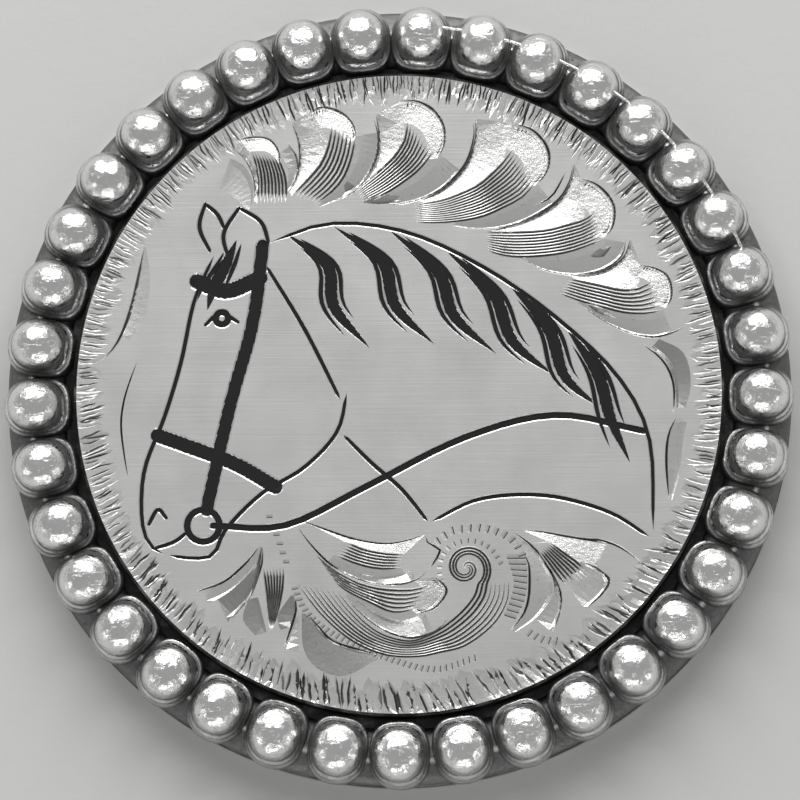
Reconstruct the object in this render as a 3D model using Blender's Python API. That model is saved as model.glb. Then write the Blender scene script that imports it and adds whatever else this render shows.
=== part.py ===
"""Round silver concho: an engraved plate with a ring of beads on its flange.

Metres. +Z points out of the engraved face and +Y to the top of the design.
The origin is the centre of the back, on the surface that the concho lies on.
"""

import math

import bmesh
import bpy
from mathutils import Matrix, Vector

MM = 0.001

# Rim of beads
CONCHO_RADIUS = 19.05 * MM
BEAD_COUNT = 37
BEAD_LENGTH = 3.1 * MM
BEAD_HEIGHT = 2.6 * MM
BEAD_GAP = 0.14 * MM
FIRST_BEAD_ANGLE = 85.85
BEAD_STRAY = 1.35
BEAD_STRAY_ANGLE = 25.0
BEAD_ROUNDNESS = (1.9, 2.2)
NECK_HEIGHT = 1.0 * MM
NECK_WIDTH = 0.8 * MM
WEB_HEIGHT = 0.28 * MM
WEB_SETBACK = 0.3 * MM

# Plate
FLANGE_THICKNESS = 1.0 * MM
FLANGE_SETBACK = 0.15 * MM
FACE_HEIGHT = 2.4 * MM
SHEET_THICKNESS = 1.0 * MM
RIM_SEAT_WIDTH = 4.6 * MM
HOLLOW_DRAFT = 0.3 * MM
EDGE_BEVEL = 0.12 * MM

# Screw boss on the back
BOSS_RADIUS = 3.2 * MM
BORE_RADIUS = 1.75 * MM
BORE_FLOOR = 0.45 * MM

# Clearances between the ring of beads and the plate
GROOVE_WIDTH = 0.3 * MM
SEAT_GAP = 0.3 * MM

# Engraving
NOTCHES_PER_BEAD = 4
NOTCH_LENGTH = 1.4 * MM
NOTCH_WIDTH = 0.4 * MM
NOTCH_DEPTH = 0.22 * MM
SCOOP_WIDTH = 1.9 * MM
SCOOP_DEPTH = 0.4 * MM
EDGE_CUT_WIDTH = 0.34 * MM
EDGE_CUT_DEPTH = 0.2 * MM
SCROLL_LINE_WIDTH = 0.54 * MM
LINE_WIDTH = 0.2 * MM
STRAP_WIDTH = 0.62 * MM
LOCK_WIDTH = 1.0 * MM
BIT_RADIUS = 0.7 * MM
INLAY_DEPTH = 0.16 * MM

# Roundness
SEGMENTS_PER_BEAD = 2
BEAD_SIDES = 10
BEAD_LEVELS = (0.0, 0.45, 0.75, 0.92)
BOSS_SIDES = 24
BIT_SIDES = 12
STATIONS_PER_SPAN = 2

# Sizes that follow from those above
FACE_RADIUS = CONCHO_RADIUS - BEAD_LENGTH - GROOVE_WIDTH
EDGE_RADIUS = CONCHO_RADIUS - FLANGE_SETBACK
BEAD_CIRCLE = CONCHO_RADIUS - BEAD_LENGTH / 2
BEAD_PITCH = 2 * BEAD_CIRCLE * math.sin(math.pi / BEAD_COUNT)
RIM_SEAT_HEIGHT = FLANGE_THICKNESS + SEAT_GAP
SEGMENTS = BEAD_COUNT * SEGMENTS_PER_BEAD

# The design is drawn in hundredths of the face's radius, with the face's centre as its zero.
DRAWING_UNIT = FACE_RADIUS / 100

# Each leaf: the scoop from its head to its tip, its width as a share of SCOOP_WIDTH, then its outer edge.
LEAVES = (
    (((-45, 79), (-40, 73), (-38, 65), (-42, 57)), 0.8, ((-59, 64), (-52, 59), (-47, 52))),
    (((-21, 88), (-24, 76), (-29, 66), (-30, 59)), 1.1, ((-7, 85), (-6, 77), (-14, 63), (-24, 60))),
    (((8, 90), (4, 76), (-4, 66), (-12, 60)), 1.2, ((23, 85), (20, 72), (12, 65), (0, 59))),
    (((41, 80), (36, 67), (22, 59), (7, 55)), 1.4, ((54, 71), (48, 61), (32, 52), (14, 53))),
    (((63, 62), (57, 52), (42, 48), (27, 46)), 1.2, ((69, 44), (63, 38), (50, 37), (37, 43))),
    (((83, 34), (73, 29), (62, 30), (52, 32)), 1.1, ((88, 20), (79, 17), (63, 22), (56, 28))),
    (((86, -8), (83, -14), (82, -24), (83, -33)), 0.6, ((75, 15), (80, 11), (83, 6), (84, -2))),
    (((63, -46), (59, -52), (56, -62), (55, -69)), 1.1, ((34, -42), (41, -48), (48, -60), (48, -72))),
    (((-32, -39), (-18, -46), (-4, -48), (9, -46)), 1.0, ((-25, -50), (-16, -56), (0, -59), (12, -49))),
    (((-39, -54), (-41, -62), (-41, -69), (-39, -75)), 1.0, ((-33, -63), (-30, -70), (-34, -79))),
    (((-63, -61), (-54, -58), (-46, -52), (-42, -47)), 0.7, ((-42, -54), (-46, -62), (-51, -68))),
    (((-78, 46), (-81, 33), (-84, 22), (-91, 11)), 0.8, ((-80, 10), (-84, -2), (-86, -17), (-83, -27))),
)

# The scroll: a spiral that opens into a long leaf along the bottom.
SCROLL_CENTRE = (20, -54)
SCROLL_RADII = (2.5, 8.5)
SCROLL_TURNS = 1.5
SCROLL_STEPS = 10
SCROLL_TAILS = (
    (((30, -53), (31, -64), (18, -73), (0, -76), (-16, -71), (-27, -60)), 1.3),
    (((13, -64), (2, -70), (-9, -68), (-17, -62)), 0.6),
)

# The horse's head, in lines and straps that lie flush in the face.
HEAD_LINES = (
    ((-57, 43), (-63, 29), (-67, 10), (-72, -7), (-78, -23), (-79, -37), (-77, -46), (-72, -50)),
    ((-71, -50), (-64, -51), (-57, -50), (-53, -42), (-42, -31), (-29, -23), (-19, -12), (-16, 0)),
    ((-17, -13), (-8, -22), (1, -30), (9, -40)),
    ((10, -40), (25, -33), (45, -32), (64, -37), (77, -45)),
    ((-40, 47), (-21, 53), (3, 50), (28, 38), (50, 22), (68, 4), (77, -15), (78, -43)),
    ((-53, 42), (-54, 53), (-47, 64)),
    ((-47, 63), (-41, 55), (-40, 47)),
    ((-58, 44), (-62, 53), (-59, 61)),
    ((-59, 60), (-56, 57), (-54, 53)),
    ((-60, 21), (-55, 25), (-49, 22)),
    ((-77, -41), (-74, -36), (-71, -39)),
    ((-75, -48), (-69, -46), (-65, -43)),
    ((-41, 40), (-29, 20), (-18, -2)),
)
HEAD_STRAPS = (
    ((-42, 46), (-45, 22), (-52, -4), (-59, -36)),
    ((-62, 35), (-53, 32), (-43, 36)),
    ((-74, -13), (-63, -17), (-50, -22), (-38, -29)),
    ((-57, -41), (-35, -41), (-10, -29), (20, -14), (48, -7), (75, -12)),
)
BIT_PLACE = (-60, -41)
MANE_LOCKS = (
    ((-50, 48), (-53, 41), (-57, 33), (-59, 26)),
    ((-35, 50), (-22, 40), (-20, 27), (-9, 14)),
    ((-20, 52), (-5, 41), (-1, 27), (11, 15)),
    ((-3, 51), (12, 38), (17, 24), (30, 12)),
    ((14, 45), (29, 31), (35, 16), (48, 5)),
    ((33, 35), (46, 20), (51, 5), (62, -5)),
    ((51, 21), (61, 6), (65, -8), (71, -22)),
)


def clear_scene():
    """Removes every object from the scene."""
    for item in list(bpy.data.objects):
        bpy.data.objects.remove(item, do_unlink=True)


def silver(name, colour, roughness):
    """A metal with one colour and one roughness."""
    material = bpy.data.materials.new(name)
    material.use_nodes = True
    shader = material.node_tree.nodes["Principled BSDF"]
    shader.inputs["Base Color"].default_value = (*colour, 1)
    shader.inputs["Metallic"].default_value = 1
    shader.inputs["Roughness"].default_value = roughness
    return material


def add_object(name, mesh, parent=None):
    """A mesh as an object of the scene's collection, its faces made to point outward."""
    mesh.verts.ensure_lookup_table()
    bmesh.ops.recalc_face_normals(mesh, faces=mesh.faces)
    data = bpy.data.meshes.new(name)
    mesh.to_mesh(data)
    mesh.free()
    item = bpy.data.objects.new(name, data)
    item.parent = parent
    bpy.context.scene.collection.objects.link(item)
    return item


def cutter(name, mesh, parent=None):
    """A shape that only serves a Boolean of another object."""
    item = add_object(name, mesh, parent)
    item.hide_render = True
    item.display_type = "WIRE"
    return item


def combine(item, other, operation):
    """Joins another shape to an object, or takes it away."""
    modifier = item.modifiers.new(other.name, "BOOLEAN")
    modifier.operation = operation
    modifier.solver = "EXACT"
    modifier.use_self = True
    modifier.object = other


def turns(count):
    """Angles that share out one full turn."""
    return [2 * math.pi * i / count for i in range(count)]


def round_the_clock(angle, radius, height=0):
    """A place at an angle and a distance from the Z axis."""
    return Vector((radius * math.cos(angle), radius * math.sin(angle), height))


def bridge(mesh, first, second):
    """The band of faces between two rings with as many points."""
    count = len(first)
    for i in range(count):
        j = (i + 1) % count
        mesh.faces.new((first[i], first[j], second[j], second[i]))


def add_turned(mesh, profile, segments, capped, centre=Vector()):
    """Rings, each a radius and a height; capped at both ends, or closed on itself as a hoop."""
    rings = []
    for radius, height in profile:
        places = [centre + round_the_clock(angle, radius, height) for angle in turns(segments)]
        rings.append([mesh.verts.new(place) for place in places])
    for first, second in zip(rings, rings[1:]):
        bridge(mesh, first, second)
    if capped:
        mesh.faces.new(rings[0])
        mesh.faces.new(rings[-1])
    else:
        bridge(mesh, rings[-1], rings[0])


def turned(profile, segments, capped=True):
    """One turned shape as a mesh of its own."""
    mesh = bmesh.new()
    add_turned(mesh, profile, segments, capped)
    return mesh


def bead_share(level):
    """How wide a bead is at a share of its height, as a share of its foot."""
    return (1 - level**BEAD_ROUNDNESS[0]) ** (1 / BEAD_ROUNDNESS[1])


def bead_angle(even):
    """Where a bead sits that even spacing would put at the given angle.

    The ring isn't quite even: the beads run ahead on one side of it and lag on the other.
    """
    return even + math.radians(BEAD_STRAY) * math.cos(even - math.radians(BEAD_STRAY_ANGLE))


def add_bead(mesh, angle):
    """One gumdrop-shaped bead on the bead circle, its long axis along the radius."""
    place = Matrix.Rotation(angle, 4, "Z") @ Matrix.Translation((BEAD_CIRCLE, 0, 0))
    reach = BEAD_LENGTH / 2
    half_width = (BEAD_PITCH - BEAD_GAP) / 2
    rings = []
    for level in BEAD_LEVELS:
        share = bead_share(level)
        ring = []
        for turn in turns(BEAD_SIDES):
            x = reach * share * math.cos(turn)
            y = half_width * share * math.sin(turn)
            ring.append(mesh.verts.new(place @ Vector((x, y, BEAD_HEIGHT * level))))
        rings.append(ring)
    for first, second in zip(rings, rings[1:]):
        bridge(mesh, first, second)
    mesh.faces.new(rings[0])
    top = mesh.verts.new(place @ Vector((0, 0, BEAD_HEIGHT)))
    for i in range(BEAD_SIDES):
        mesh.faces.new((rings[-1][i], rings[-1][(i + 1) % BEAD_SIDES], top))


def make_beaded_rim(parent):
    """The ring of beads, joined at their feet by a thin web with a raised neck."""
    inner = CONCHO_RADIUS - BEAD_LENGTH + WEB_SETBACK
    outer = CONCHO_RADIUS - WEB_SETBACK
    web = turned(
        (
            (inner, 0),
            (inner, WEB_HEIGHT),
            (BEAD_CIRCLE - NECK_WIDTH / 2, NECK_HEIGHT),
            (BEAD_CIRCLE + NECK_WIDTH / 2, NECK_HEIGHT),
            (outer, WEB_HEIGHT),
            (outer, 0),
        ),
        SEGMENTS,
        capped=False,
    )
    rim = add_object("beaded_rim", web, parent)
    rim.location.z = RIM_SEAT_HEIGHT
    beads = bmesh.new()
    for turn in turns(BEAD_COUNT):
        add_bead(beads, bead_angle(turn + math.radians(FIRST_BEAD_ANGLE)))
    combine(rim, cutter("beads", beads, rim), "UNION")
    rim.data.materials.append(silver("polished_silver", (0.8, 0.8, 0.79), 0.16))
    return rim


def spot(point):
    """A place on the drawing as a place on the face."""
    return Vector((point[0] * DRAWING_UNIT, point[1] * DRAWING_UNIT, 0))


def smooth_path(points, stations):
    """A smooth curve through places on the drawing."""
    marks = [spot(point) for point in points]
    marks = [2 * marks[0] - marks[1], *marks, 2 * marks[-1] - marks[-2]]
    path = []
    for a, b, c, d in zip(marks, marks[1:], marks[2:], marks[3:]):
        for i in range(stations):
            t = i / stations
            path.append(
                0.5
                * (2 * b + (c - a) * t + (2 * a - 5 * b + 4 * c - d) * t**2 + (3 * b - a - 3 * c + d) * t**3)
            )
    path.append(marks[-2])
    return path


def add_cut(mesh, path, half_widths, depths):
    """A graver's cut: three-sided, as wide and deep as told at each place, open above the face."""
    sections = []
    last = len(path) - 1
    for i, place in enumerate(path):
        along = path[min(i + 1, last)] - path[max(i - 1, 0)]
        across = Vector((-along.y, along.x, 0)).normalized()
        depth = depths[i]
        if half_widths[i] == 0:
            sections.append([mesh.verts.new(place + Vector((0, 0, FACE_HEIGHT + INLAY_DEPTH / 4)))])
            continue
        side = across * half_widths[i] * 2
        sections.append(
            [
                mesh.verts.new(place + side + Vector((0, 0, FACE_HEIGHT + depth))),
                mesh.verts.new(place - Vector((0, 0, depth - FACE_HEIGHT))),
                mesh.verts.new(place - side + Vector((0, 0, FACE_HEIGHT + depth))),
            ]
        )
    for first, second in zip(sections, sections[1:]):
        for i in range(3):
            j = (i + 1) % 3
            if len(first) == 1:
                mesh.faces.new((first[0], second[i], second[j]))
            elif len(second) == 1:
                mesh.faces.new((first[i], second[0], first[j]))
            else:
                mesh.faces.new((first[i], second[i], second[j], first[j]))
    for section in (sections[0], sections[-1]):
        if len(section) == 3:
            mesh.faces.new(section)


def add_tapered_cut(mesh, points, width, depth, fullness=0.6):
    """A cut that starts and ends in a point and is widest after its start."""
    path = smooth_path(points, STATIONS_PER_SPAN)
    last = len(path) - 1
    shares = [math.sin(math.pi * (i / last) ** fullness) ** 0.7 for i in range(1, last)]
    half_widths = [0, *(share * width / 2 for share in shares), 0]
    depths = [0, *(share * depth for share in shares), 0]
    add_cut(mesh, path, half_widths, depths)


def add_line(mesh, points, width, depth):
    """A line of one width that ends square."""
    path = smooth_path(points, STATIONS_PER_SPAN)
    add_cut(mesh, path, [width / 2] * len(path), [depth] * len(path))


def add_notches(mesh):
    """The border of radial notches that break the edge of the face."""
    count = BEAD_COUNT * NOTCHES_PER_BEAD
    for angle in turns(count):
        inner = round_the_clock(angle, FACE_RADIUS - NOTCH_LENGTH)
        outer = round_the_clock(angle, FACE_RADIUS + EDGE_BEVEL)
        add_cut(mesh, [inner, outer], [0, NOTCH_WIDTH / 2], [0, NOTCH_DEPTH])


def add_leaves(mesh):
    """A deep scoop and a fine outer edge for each leaf."""
    for scoop, share, edge in LEAVES:
        add_tapered_cut(mesh, scoop, SCOOP_WIDTH * share, SCOOP_DEPTH)
        add_tapered_cut(mesh, edge, EDGE_CUT_WIDTH, EDGE_CUT_DEPTH, 1)


def add_scroll(mesh):
    """The spiral and the two cuts that sweep out of it."""
    start, end = SCROLL_RADII
    spiral = []
    for i in range(SCROLL_STEPS + 1):
        share = i / SCROLL_STEPS
        angle = math.pi - 2 * math.pi * SCROLL_TURNS * share
        place = round_the_clock(angle, start + (end - start) * share)
        spiral.append((SCROLL_CENTRE[0] + place.x, SCROLL_CENTRE[1] + place.y))
    add_tapered_cut(mesh, spiral, SCROLL_LINE_WIDTH, EDGE_CUT_DEPTH, 1)
    for tail, share in SCROLL_TAILS:
        add_tapered_cut(mesh, tail, SCOOP_WIDTH * share, SCOOP_DEPTH)


def add_emblem(mesh):
    """The horse's head with its mane, headstall and rein."""
    for line in HEAD_LINES:
        add_line(mesh, line, LINE_WIDTH, INLAY_DEPTH)
    for strap in HEAD_STRAPS:
        add_line(mesh, strap, STRAP_WIDTH, INLAY_DEPTH)
    for lock in MANE_LOCKS:
        add_tapered_cut(mesh, lock, LOCK_WIDTH, INLAY_DEPTH)
    ring = (
        (BIT_RADIUS - LINE_WIDTH, FACE_HEIGHT + INLAY_DEPTH),
        (BIT_RADIUS + LINE_WIDTH, FACE_HEIGHT + INLAY_DEPTH),
        (BIT_RADIUS, FACE_HEIGHT - INLAY_DEPTH),
    )
    add_turned(mesh, ring, BIT_SIDES, capped=False, centre=spot(BIT_PLACE))


def make_engraved_plate(parent):
    """The plate: a raised face, a flange for the beads, a hollow back and a boss for a screw."""
    hollow_radius = EDGE_RADIUS - RIM_SEAT_WIDTH
    hollow_height = FACE_HEIGHT - SHEET_THICKNESS
    body = turned(
        (
            (FACE_RADIUS - EDGE_BEVEL, FACE_HEIGHT),
            (FACE_RADIUS, FACE_HEIGHT - EDGE_BEVEL),
            (FACE_RADIUS, FLANGE_THICKNESS),
            (EDGE_RADIUS - EDGE_BEVEL, FLANGE_THICKNESS),
            (EDGE_RADIUS, FLANGE_THICKNESS - EDGE_BEVEL),
            (EDGE_RADIUS, 0),
            (hollow_radius, 0),
            (hollow_radius - HOLLOW_DRAFT, hollow_height),
        ),
        SEGMENTS,
    )
    plate = add_object("engraved_plate", body, parent)
    middle = hollow_height + SHEET_THICKNESS / 2
    boss = turned(((BOSS_RADIUS, 0), (BOSS_RADIUS, middle)), BOSS_SIDES)
    combine(plate, cutter("boss", boss, plate), "UNION")
    bore_top = FACE_HEIGHT - BORE_FLOOR
    bore = turned(((BORE_RADIUS, -BOSS_RADIUS), (BORE_RADIUS, bore_top)), BOSS_SIDES)
    combine(plate, cutter("bore", bore, plate), "DIFFERENCE")
    cuts = bmesh.new()
    add_notches(cuts)
    add_leaves(cuts)
    add_scroll(cuts)
    add_emblem(cuts)
    combine(plate, cutter("engraving", cuts, plate), "DIFFERENCE")
    plate.data.materials.append(silver("engraved_silver", (0.72, 0.72, 0.71), 0.3))
    return plate


def smooth_rounds(item):
    """Shades an object smooth with its sharp edges kept."""
    item.data.shade_smooth()
    item.data.set_sharp_from_angle(angle=math.radians(35))


def main():
    clear_scene()
    concho = bpy.data.objects.new("concho", None)
    bpy.context.scene.collection.objects.link(concho)
    for item in (make_engraved_plate(concho), make_beaded_rim(concho)):
        smooth_rounds(item)


main()
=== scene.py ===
"""Looks of the round silver concho: its engraved plate, its ring of beads and the studio.

Metres in the scene. Shapes are worked out in millimetres and scaled once, when a mesh is made.
"""

import logging
import math
import random
from dataclasses import dataclass, field
from enum import Enum
from typing import Any, Callable, Mapping, Sequence

import bmesh
import bpy
from mathutils import Matrix, Vector
from mathutils.bvhtree import BVHTree
from mathutils.geometry import delaunay_2d_cdt


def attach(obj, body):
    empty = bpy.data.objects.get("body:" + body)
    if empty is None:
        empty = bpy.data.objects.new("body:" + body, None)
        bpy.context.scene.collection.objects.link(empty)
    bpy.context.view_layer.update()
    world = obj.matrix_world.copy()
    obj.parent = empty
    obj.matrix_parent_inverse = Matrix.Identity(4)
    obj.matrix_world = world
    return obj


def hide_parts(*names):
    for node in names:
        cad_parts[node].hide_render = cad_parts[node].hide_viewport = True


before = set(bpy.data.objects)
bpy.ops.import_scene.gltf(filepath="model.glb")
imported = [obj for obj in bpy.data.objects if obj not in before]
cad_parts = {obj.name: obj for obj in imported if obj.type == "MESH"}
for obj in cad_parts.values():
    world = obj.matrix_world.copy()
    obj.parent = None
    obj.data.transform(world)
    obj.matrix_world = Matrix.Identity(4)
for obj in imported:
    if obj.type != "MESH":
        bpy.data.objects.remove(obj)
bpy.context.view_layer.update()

MM = 0.001
LOG = logging.getLogger("concho")

# Name of the attribute that tells how deep in painted shade, with some patina, a place on the ring
# lies.
PAINTED_SHADE = "painted_shade"

Point = tuple[float, float]
Point3 = tuple[float, float, float]
Tint = tuple[float, float, float]
Path = Sequence[Point]
Profile = Sequence[Point]
Rails = list[list[Vector]]

# Sizes that the plate and the beads share, in millimetres.
CONCHO_RADIUS = 19.05
BEAD_COUNT = 37
BEAD_LENGTH = 3.1
BEAD_CIRCLE = CONCHO_RADIUS - BEAD_LENGTH / 2
FIRST_BEAD_ANGLE = 85.85
BEAD_STRAY = 1.35
BEAD_STRAY_ANGLE = 25.0
FLANGE_THICKNESS = 1.0
FACE_HEIGHT = 2.4
GROOVE_WIDTH = 0.3
FACE_RADIUS = CONCHO_RADIUS - BEAD_LENGTH - GROOVE_WIDTH

# The design is drawn in thousandths of the face's radius, with the face's centre as its zero.
DRAWING_UNIT = FACE_RADIUS / 1000

# Accuracy of the curves and of the carved surface. Lengths are in millimetres.
CURVE_STEP = 0.35
STEPS_PER_MARK = 8
PAIRING_STATIONS = 80
MERGE_DISTANCE = 1e-4
PROBE_START = -5.0
SHORTEST = 1e-9


class Zone(Enum):
    """The finishes of the plate's surface, in the order of its material slots."""

    SATIN = 0
    BRIGHT = 1
    SPECKLED = 2
    LINER = 3
    NOTCH = 4
    SHADED = 5
    FILL = 6
    AGED = 7


def math_method(operation: str, swapped: bool = False) -> Callable[..., "Value"]:
    """A method that adds one Math node to the graph of its value.

    Args:
        operation: The node's operation.
        swapped: Whether the value comes after the other operand.

    Returns:
        The method.
    """

    def method(value: "Value", *others: Any) -> "Value":
        operands = (*others, value) if swapped else (value, *others)
        return value.graph.node("ShaderNodeMath", dict(enumerate(operands)), operation=operation)

    return method


class Value:
    """A socket that takes part in Python expressions; each operation adds its Math node."""

    def __init__(self, graph: "NodeGraph", socket: bpy.types.NodeSocket) -> None:
        """Wraps one output socket of a graph."""
        self.graph = graph
        self.socket = socket

    __add__ = __radd__ = math_method("ADD")
    __mul__ = __rmul__ = math_method("MULTIPLY")
    __sub__ = math_method("SUBTRACT")
    __rsub__ = math_method("SUBTRACT", swapped=True)
    __truediv__ = math_method("DIVIDE")
    __pow__ = math_method("POWER")
    at_least = math_method("MAXIMUM")
    cosine = math_method("COSINE")

    def ramp(self, low: float, high: float) -> "Value":
        """A smooth change from 0 to 1 as this value goes from low to high."""
        sockets = {0: self, 1: low, 2: high, 3: 0, 4: 1}
        return self.graph.node("ShaderNodeMapRange", sockets, interpolation_type="SMOOTHSTEP")


class NodeGraph:
    """The nodes of one tree, each made by the same method."""

    def __init__(self, tree: bpy.types.NodeTree) -> None:
        """Starts on an existing tree."""
        self.tree = tree

    def node(
        self, kind: str, inputs: Mapping[Any, Any] | None = None, output: Any = 0, **settings: Any
    ) -> Value:
        """Adds a node, sets it up and fills its sockets.

        Args:
            kind: The node's type.
            inputs: Values or links by the sockets' names or numbers.
            output: Name or number of the output that is wanted.
            settings: Properties of the node, set first.

        Returns:
            The wanted output.
        """
        made = self.tree.nodes.new(kind)
        for name, setting in settings.items():
            setattr(made, name, setting)
        for key, value in (inputs or {}).items():
            self.fill(made.inputs[key], value)
        return Value(self, made.outputs[output])

    def fill(self, socket: bpy.types.NodeSocket, value: Any) -> None:
        """Links a value to a socket, or writes a plain number or colour into it."""
        if isinstance(value, Value):
            self.tree.links.new(value.socket, socket)
        else:
            socket.default_value = value

    def also(self, value: Value, output: Any) -> Value:
        """Another output of the node that a value comes from."""
        return Value(self, value.socket.node.outputs[output])

    def vector(self, x: Any = 0, y: Any = 0, z: Any = 0) -> Value:
        """A vector made of three values."""
        return self.node("ShaderNodeCombineXYZ", {0: x, 1: y, 2: z})

    def scaled(self, vector: Value, factors: Sequence[float]) -> Value:
        """A vector with each of its parts multiplied by a number."""
        return self.node("ShaderNodeVectorMath", {0: vector, 1: factors}, operation="MULTIPLY")

    def times(self, vector: Value, factor: Any) -> Value:
        """A vector multiplied by a value."""
        return self.node("ShaderNodeVectorMath", {0: vector, "Scale": factor}, operation="SCALE")

    def noise(self, place: Value, scale: float, detail: float = 3, rough: float = 0.5) -> Value:
        """Noise from 0 to 1.

        Args:
            place: Where the noise is read.
            scale: How many bumps there are to a unit of place.
            detail: How many finer layers are added.
            rough: How strong the finer layers are.

        Returns:
            The noise.
        """
        sockets = {"Vector": place, "Scale": scale, "Detail": detail, "Roughness": rough}
        return self.node("ShaderNodeTexNoise", sockets)

    def mix(self, factor: Any, first: Any, second: Any) -> Value:
        """A colour between two colours."""
        return self.node("ShaderNodeMix", {0: factor, 6: first, 7: second}, 2, data_type="RGBA")


class Surface(NodeGraph):
    """The node graph of one material."""

    def __init__(self, name: str) -> None:
        """Starts a material with one main shader."""
        self.material = bpy.data.materials.new(name)
        self.material.use_nodes = True
        super().__init__(self.material.node_tree)
        self.shader = self.tree.nodes["Principled BSDF"]
        self.place = self.times(self.node("ShaderNodeTexCoord", output="Object"), 1 / MM)
        x = self.node("ShaderNodeSeparateXYZ", {0: self.place})
        y = self.also(x, 1)
        self.z = self.also(x, 2)
        self.radius = (x * x + y * y) ** 0.5
        self.depth = FACE_HEIGHT - self.z

    def grey(self, tone: Any, tint: Sequence[float]) -> Value:
        """A colour of the given tone, from black to the tint."""
        return self.mix(tone, (0, 0, 0, 1), (*tint, 1))

    def bump(self, height: Value, distance: float) -> Value:
        """A normal bent by a height from 0 to 1, with 1 for a distance in millimetres."""
        sockets = {"Height": height, "Distance": distance * MM}
        return self.node("ShaderNodeBump", sockets)

    def finish(self, **sockets: Any) -> bpy.types.Material:
        """Fills the main shader's sockets and hands over the material.

        Args:
            sockets: Values or links, by socket name with _ for a space.

        Returns:
            The finished material.
        """
        for name, value in sockets.items():
            self.fill(self.shader.inputs[name.replace("_", " ")], value)
        return self.material


@dataclass(frozen=True)
class SatinSilver:
    """Silver rubbed in one direction, left to right, with a few faint stains."""

    tint: Tint = (0.88, 0.88, 0.87)
    brush_width: float = 0.035
    brush_length: float = 3.0
    roughness: float = 0.34

    def material(self) -> bpy.types.Material:
        """The finish as a material."""
        face = Surface("satin_silver")
        stretched = face.scaled(face.place, (1 / self.brush_length, 1 / self.brush_width, 1))
        brush = face.noise(stretched, 0.5, 4, 0.6)
        broad = face.noise(face.scaled(face.place, (0.16, 0.5, 1)), 1, 4, 0.6)
        clouds = face.noise(face.place, 0.35, 4, 0.6)
        grain = face.noise(face.place, 9, 3, 0.7)
        tone = 0.9 + 0.1 * brush + 0.12 * broad + 0.1 * clouds - 0.1 * grain
        spots = face.noise(face.place, 1.7, 5, 0.75).ramp(0.66, 0.74)
        tone = tone - spots * 0.12
        return face.finish(
            Base_Color=face.grey(tone, self.tint),
            Metallic=1.0,
            Roughness=self.roughness + 0.12 * clouds - 0.08 * brush,
            Normal=face.bump(brush * 0.8 + grain * 0.2, 0.006),
        )


@dataclass(frozen=True)
class BrightCut:
    """The mirror-like floor of a graver's cut, with chatter and specks, and painted shade where the
    cut lies deep.
    """

    name: str = "bright_cut"
    tint: Tint = (0.95, 0.95, 0.94)
    roughness: float = 0.2
    chatter: float = 0.012
    darkness: float = 0.3
    # Depths over which painted shade darkens the cut, and the tone it leaves at the bottom.
    painted_shade_depths: tuple[float, float] = (0.16, 0.3)
    painted_shade_tone: float = 0.45

    def material(self) -> bpy.types.Material:
        """The finish as a material."""
        cut = Surface(self.name)
        chatter = cut.noise(cut.place, 5, 5, 0.7)
        clouds = cut.noise(cut.place, 0.9, 3, 0.6)
        specks = cut.noise(cut.place, 4, 4, 0.8).ramp(0.58, 0.7)
        tone = 1.05 - specks * self.darkness - clouds * 0.2
        # Painted shade: the colour darkens towards the bottom of a deep cut.
        tone = tone * (1 - cut.depth.ramp(*self.painted_shade_depths) * (1 - self.painted_shade_tone))
        return cut.finish(
            Base_Color=cut.grey(tone, self.tint),
            Metallic=1.0,
            Roughness=self.roughness + 0.2 * clouds,
            Normal=cut.bump(chatter, self.chatter),
        )


@dataclass(frozen=True)
class BlackFill:
    """Matt black that fills the lines of the emblem."""

    tint: Tint = (0.012, 0.012, 0.013)
    worn_tint: Tint = (0.05, 0.05, 0.052)

    def material(self) -> bpy.types.Material:
        """The finish as a material."""
        fill = Surface("black_fill")
        grain = fill.noise(fill.place, 12, 4, 0.7)
        wear = fill.noise(fill.place, 2.2, 4, 0.7).ramp(0.6, 0.8)
        return fill.finish(
            Base_Color=fill.mix(wear * 0.4, (*self.tint, 1), (*self.worn_tint, 1)),
            Roughness=0.55 + 0.25 * grain,
            Specular_IOR_Level=0.25,
            Normal=fill.bump(grain, 0.01),
        )


@dataclass(frozen=True)
class AgedAndShadedSilver:
    """Silver under the beads, in the groove and on the back, mottled by age, with painted shade and
    patina darkening it in the groove and under the beads.
    """

    tint: Tint = (0.8, 0.79, 0.77)
    shade_and_patina_tone: float = 0.06
    shade_and_patina_heights: tuple[float, float] = (0.2, 0.5)
    shade_and_patina_radii: tuple[float, float] = (15.0, 15.4)

    def material(self) -> bpy.types.Material:
        """The finish as a material."""
        aged = Surface("aged_and_shaded_silver")
        clouds = aged.noise(aged.place, 0.8, 5, 0.65)
        grain = aged.noise(aged.place, 7, 4, 0.7)
        scratches = aged.noise(aged.scaled(aged.place, (4, 0.3, 1)), 1, 3, 0.6)
        # Painted shade, with some patina: dark in the groove and on the flange under the beads.
        shade_and_patina_mask = aged.z.ramp(*self.shade_and_patina_heights) * aged.radius.ramp(*self.shade_and_patina_radii)
        back = 0.72 + 0.35 * clouds - 0.2 * grain + 0.1 * scratches
        shade_and_patina_front = self.shade_and_patina_tone + 0.35 * clouds.ramp(0.45, 0.7) * grain
        tone = shade_and_patina_mask * shade_and_patina_front + (1 - shade_and_patina_mask) * back
        return aged.finish(
            Base_Color=aged.grey(tone, self.tint),
            Metallic=1.0,
            Roughness=0.3 + 0.25 * clouds,
            Normal=aged.bump(grain * 0.6 + scratches * 0.4, 0.012),
        )


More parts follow.
